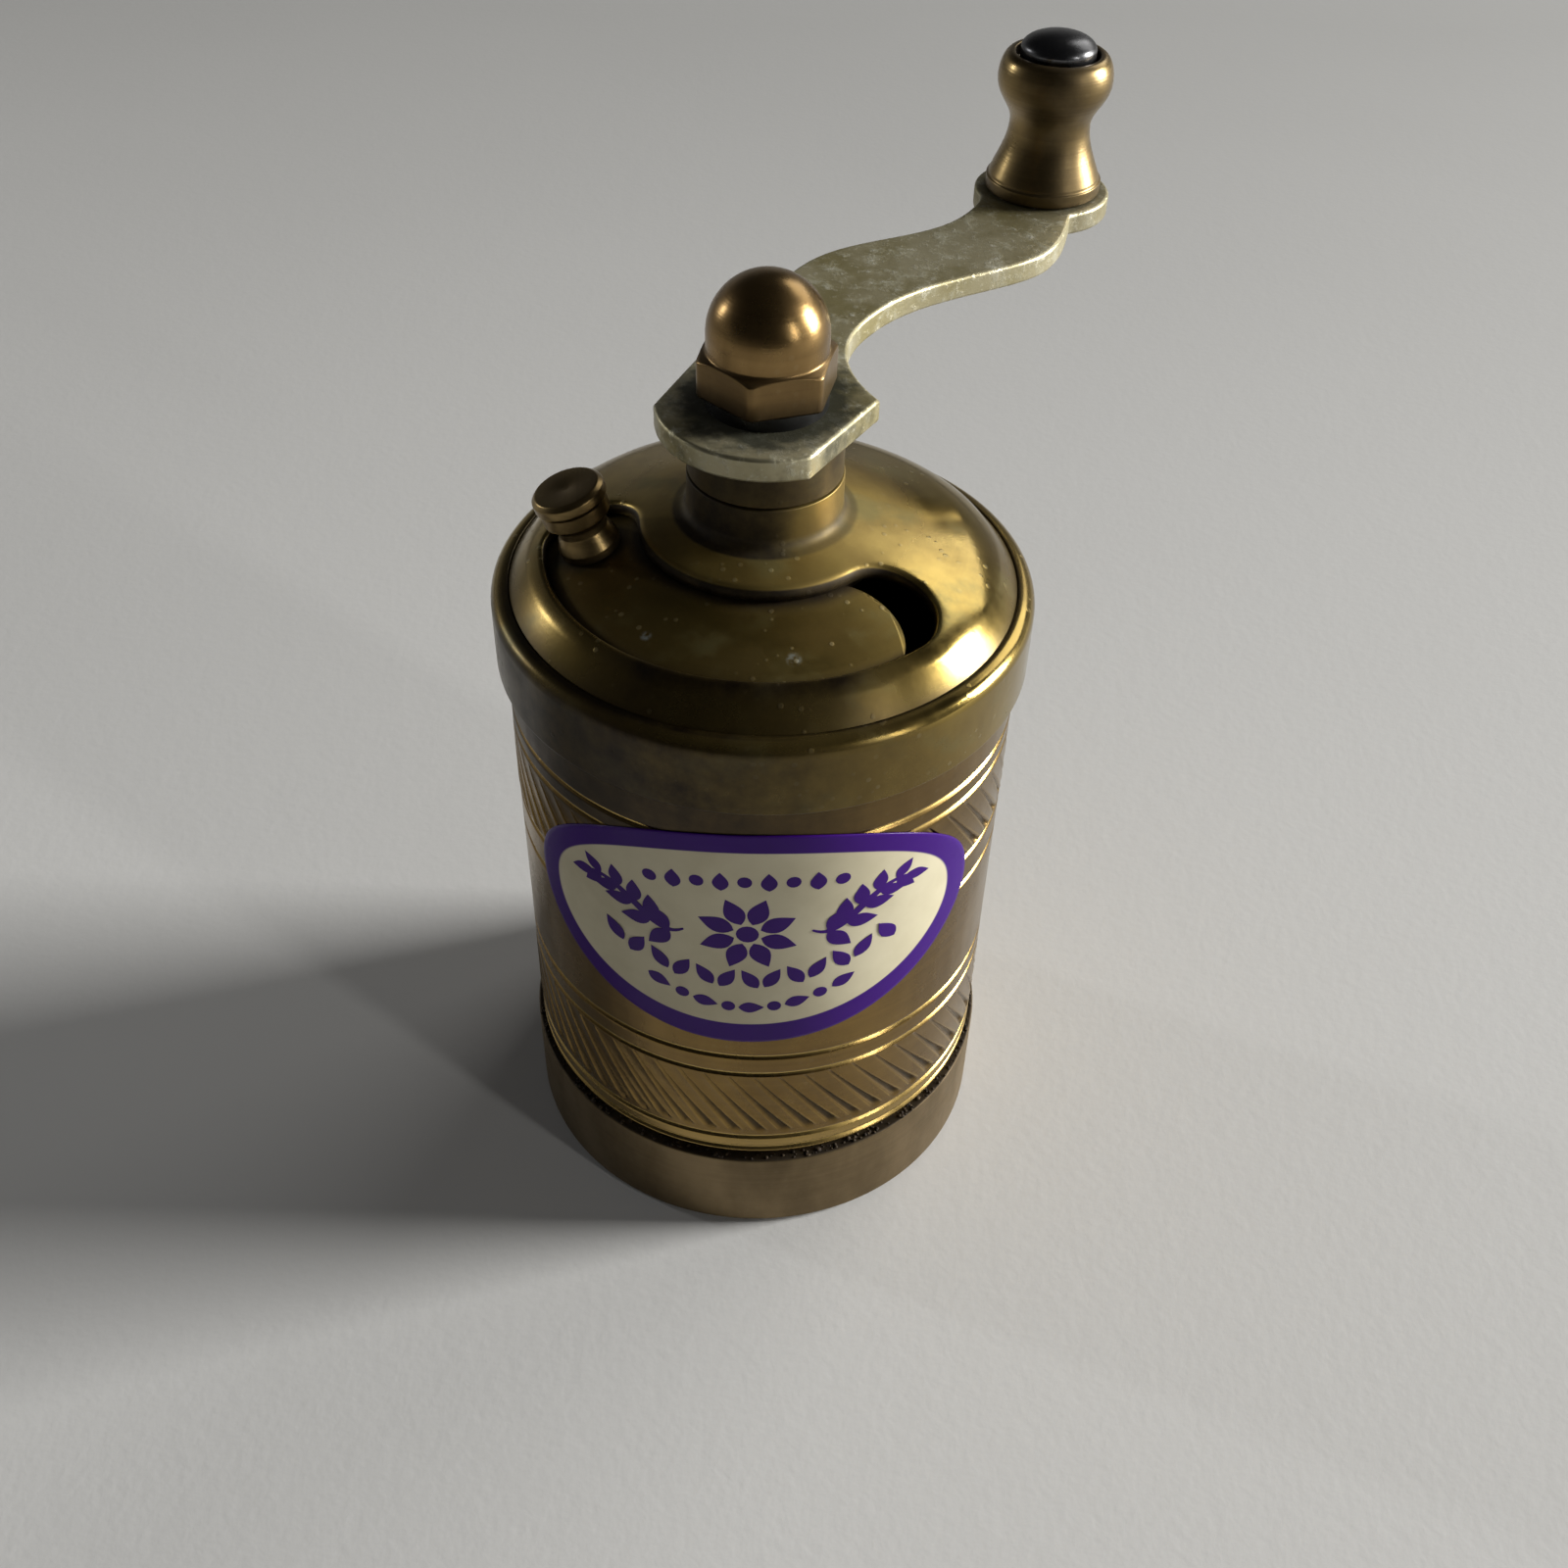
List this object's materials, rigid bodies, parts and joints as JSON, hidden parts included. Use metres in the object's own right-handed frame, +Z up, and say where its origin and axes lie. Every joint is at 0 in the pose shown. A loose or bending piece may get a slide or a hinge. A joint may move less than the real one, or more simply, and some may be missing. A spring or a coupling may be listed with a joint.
{
  "type": "hand coffee mill",
  "caption": "Small cylindrical brass hand mill: S-shaped crank with turned grip, domed lid with shutter over a filling slot, conical burrs and pull-off catch cup.",
  "frame": {"origin": "centre of the catch cup's underside, on the surface that the mill stands on", "axes": "+Z up along the spindle, -Y towards the label at the front, +X to the right of the label"},
  "size_m": [0.0544, 0.0695, 0.0912],
  "materials": {
    "brass_cup": "dull satin turned brass",
    "brass_tube": "turned brass with brown patina",
    "label_foil": "glossy printed foil",
    "brass_lid": "spun brass, tarnished",
    "brass_shutter": "dark tarnished brass",
    "brass_turned": "satin turned brass",
    "brass_nut": "polished bronze-coloured brass",
    "nickel_brass": "pale nickel brass, worn",
    "bronze": "machined bronze",
    "cast_brass": "as cast, dull",
    "steel": "turned steel",
    "burr_steel": "hardened steel",
    "dark_steel": "dark oxidised steel"
  },
  "bodies": {
    "cup": {"catch_cup": "brass_cup"},
    "mill": {"body_tube": "brass_tube", "label": "label_foil", "lid": "brass_lid", "neck_bush": "bronze", "spring_washer_ring": "steel", "retaining_nut": "bronze", "burr_housing": "cast_brass", "ring_burr": "burr_steel", "burr_dowels": "steel", "bearing_spider": "cast_brass", "spider_bush": "bronze", "bridge": "steel", "bridge_screws": "dark_steel"},
    "crank": {"spindle": "steel", "crank_spacer": "brass_lid", "crank_arm": "nickel_brass", "lock_washer": "dark_steel", "cap_nut": "brass_nut", "grip_rivet": "dark_steel", "thrust_collar": "steel", "collar_pin": "dark_steel", "burr_spring": "steel"},
    "grip": {"grip_knob": "brass_turned"},
    "burr": {"cone_burr": "burr_steel"},
    "shutter": {"shutter_plate": "brass_shutter", "tab_knob": "brass_turned"},
    "adjuster": {"adjusting_screw": "bronze", "thrust_ball": "steel"}
  },
  "joints": [
    {"name": "mill_lift", "type": "slide", "parent": "cup", "child": "mill", "axis": [0, 0, 1], "range_m": [0, 0.02]},
    {"name": "crank_spin", "type": "hinge", "parent": "mill", "child": "crank", "pos_m": [0, 0, 0.05], "axis": [0, 0, 1], "continuous": true},
    {"name": "grip_spin", "type": "hinge", "parent": "crank", "child": "grip", "pos_m": [0.02556, 0.04075, 0.08], "axis": [0, 0, 1], "continuous": true},
    {"name": "burr_lift", "type": "slide", "parent": "crank", "child": "burr", "axis": [0, 0, 1], "range_m": [0, 0.001], "deforming": ["burr_spring"]},
    {"name": "shutter_turn", "type": "hinge", "parent": "mill", "child": "shutter", "pos_m": [0, 0, 0.065], "axis": [0, 0, 1], "range_deg": [-4, 126]},
    {"name": "adjuster_rise", "type": "slide", "parent": "mill", "child": "adjuster", "axis": [0, 0, 1], "range_m": [0, 0.001]}
  ],
  "couplings": [
    {"joint": "burr_lift", "follows": "adjuster_rise", "ratio": 1}
  ]
}
